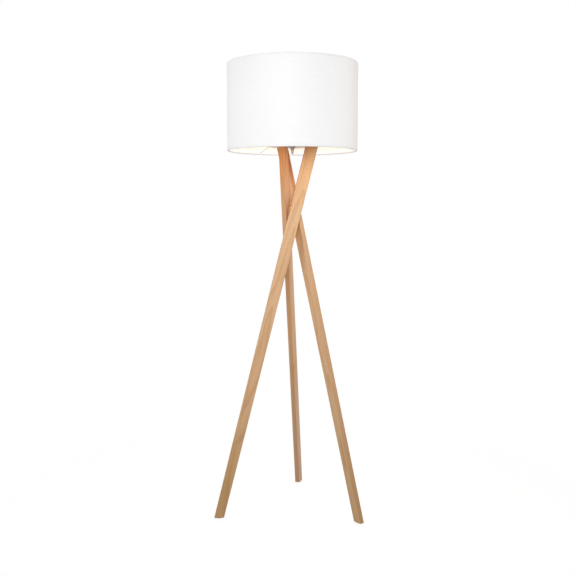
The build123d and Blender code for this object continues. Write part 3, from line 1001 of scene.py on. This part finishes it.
class LAMP_OT_stage(bpy.types.Operator):
    """Pale floor, soft boxes, sky and the camera of the photograph"""

    bl_idname = "lamp.stage"
    bl_label = "Stage"

    def execute(self, context):
        stage = context.scene.lamp_stage
        context.scene.view_settings.view_transform = "Standard"
        self.lay_floor(context, stage)
        self.light_sky(context, stage)
        boxes = (
            ("front", -pi / 2, stage.front_power),
            ("left", pi + stage.box_turn, stage.left_power),
            ("right", -stage.box_turn, stage.right_power),
            ("back_right", stage.box_turn, stage.back_right_power),
            ("back_left", pi - stage.box_turn, stage.back_left_power),
            ("back", pi / 2, stage.back_power),
        )
        for side, azimuth, watts in boxes:
            self.hang_box(context, stage, side, azimuth, watts)
        self.hang_box(context, stage, "warm", stage.warm_turn, stage.warm_power, stage.warm_tint)
        self.place_camera(context, stage)
        return {"FINISHED"}

    def shown_directly(self, surface):
        """1 for rays that show the background itself: straight, mirrored or through glass."""
        rays = surface.add("ShaderNodeLightPath", {}, {}, out="Is Camera Ray")
        outputs = rays.socket.node.outputs
        mirrored = Wire(surface, outputs["Is Glossy Ray"])
        through = Wire(surface, outputs["Is Transmission Ray"])
        return surface.add("ShaderNodeClamp", {}, {"Value": rays + mirrored + through})

    def lay_floor(self, context, stage):
        """Round floor, white to look at, with the lamp's shadow round the feet, and clear from below."""
        surface = new_surface("pale_floor")
        plain = surface.add("ShaderNodeBsdfDiffuse", {}, {"Color": tuple(stage.floor)})
        lift = surface.add("ShaderNodeEmission", {}, {"Color": (1, 1, 1), "Strength": stage.floor_lift})
        shadowed = surface.add("ShaderNodeAddShader", {}, {0: plain, 1: lift})
        white = surface.add("ShaderNodeEmission", {}, {"Color": (1, 1, 1), "Strength": 1.0})
        x, y, _ = surface.separate(surface.place())
        away = surface.step((x * x + y * y) ** 0.5, stage.shadow_radius, stage.shadow_end)
        look = surface.add("ShaderNodeMixShader", {}, {0: away, 1: shadowed, 2: white})
        seen = surface.add("ShaderNodeMixShader", {}, {0: self.shown_directly(surface), 1: plain, 2: look})
        below = surface.add("ShaderNodeNewGeometry", {}, {}, out="Backfacing")
        clear = surface.add("ShaderNodeBsdfTransparent")
        one_sided = surface.add("ShaderNodeMixShader", {}, {0: below, 1: seen, 2: clear})
        surface.add("ShaderNodeOutputMaterial", {}, {"Surface": one_sided})
        turns = [tau * side / FLOOR_SIDES for side in range(FLOOR_SIDES)]
        rim = [(stage.floor_radius * cos(a), stage.floor_radius * sin(a), 0.0) for a in turns]
        mesh = bpy.data.meshes.new("floor")
        mesh.from_pydata(rim, [], [tuple(range(len(rim)))])
        mesh.materials.append(surface.holder)
        floor_piece = bpy.data.objects.new("floor", mesh)
        context.scene.collection.objects.link(floor_piece)

    def light_sky(self, context, stage):
        """World that is white to look at and lights the lamp softly."""
        context.scene.world = bpy.data.worlds.new("studio")
        surface = Surface(context.scene.world)
        soft = surface.add("ShaderNodeBackground", {}, {"Color": (1, 1, 1), "Strength": stage.sky})
        white = surface.add("ShaderNodeBackground", {}, {"Color": (1, 1, 1), "Strength": 1.0})
        seen = surface.add("ShaderNodeMixShader", {}, {0: self.shown_directly(surface), 1: soft, 2: white})
        surface.add("ShaderNodeOutputWorld", {}, {"Surface": seen})

    def hang_box(self, context, stage, side, azimuth, watts, tint=(1, 1, 1)):
        """Soft box that faces the lamp's axis."""
        light = bpy.data.lights.new("soft_box_" + side, "AREA")
        light.shape = "RECTANGLE"
        light.size = stage.box_width
        light.size_y = stage.box_rise
        light.energy = watts
        light.color = tint
        box = bpy.data.objects.new(light.name, light)
        away = Vector((cos(azimuth), sin(azimuth), 0))
        box.location = away * stage.box_distance + Vector((0, 0, stage.box_height))
        box.rotation_euler = (-away).to_track_quat("-Z", "Z").to_euler()
        box.visible_camera = False
        context.scene.collection.objects.link(box)

    def place_camera(self, context, stage):
        """Camera where the photograph was taken."""
        data = bpy.data.cameras.new("camera")
        data.sensor_width = SENSOR_WIDTH
        data.lens = stage.camera_lens
        camera = bpy.data.objects.new("camera", data)
        camera.location = (
            stage.camera_distance * sin(stage.camera_turn),
            -stage.camera_distance * cos(stage.camera_turn),
            stage.camera_height,
        )
        camera.rotation_euler = (pi / 2 - stage.camera_tilt, 0, stage.camera_turn + stage.camera_yaw)
        context.scene.collection.objects.link(camera)
        context.scene.camera = camera


class LAMP_PT_panel(bpy.types.Panel):
    """The lamp's pieces and their settings"""

    bl_idname = "LAMP_PT_panel"
    bl_label = "Tripod floor lamp"
    bl_space_type = "VIEW_3D"
    bl_region_type = "UI"
    bl_category = "Lamp"

    def draw(self, context):
        for operator in OPERATORS:
            self.layout.operator(operator.bl_idname)
        for name, group in GROUPS.items():
            box = self.layout.box()
            box.label(text=group.__doc__)
            for setting in group.__annotations__:
                box.prop(getattr(context.scene, name), setting)


GROUPS = {
    "lamp_wood": LAMP_PG_wood,
    "lamp_shade": LAMP_PG_shade,
    "lamp_fittings": LAMP_PG_fittings,
    "lamp_bulb": LAMP_PG_bulb,
    "lamp_stage": LAMP_PG_stage,
}
OPERATORS = (
    LAMP_OT_stage, LAMP_OT_legs, LAMP_OT_pads, LAMP_OT_plate, LAMP_OT_holder, LAMP_OT_shade, LAMP_OT_bulb,
)
CLASSES = (*GROUPS.values(), *OPERATORS, LAMP_PT_panel)


def register():
    """Adds the classes and the scene's settings."""
    for kind in CLASSES:
        bpy.utils.register_class(kind)
    for name, group in GROUPS.items():
        setattr(bpy.types.Scene, name, PointerProperty(type=group))


def unregister():
    """Takes them away again."""
    for name in GROUPS:
        delattr(bpy.types.Scene, name)
    for kind in reversed(CLASSES):
        bpy.utils.unregister_class(kind)


def main():
    """Registers the classes and makes every piece."""
    register()
    bpy.ops.lamp.stage()
    bpy.ops.lamp.legs()
    bpy.ops.lamp.pads()
    bpy.ops.lamp.plate()
    bpy.ops.lamp.holder()
    bpy.ops.lamp.shade()
    bpy.ops.lamp.bulb()


if __name__ == "__main__":
    main()
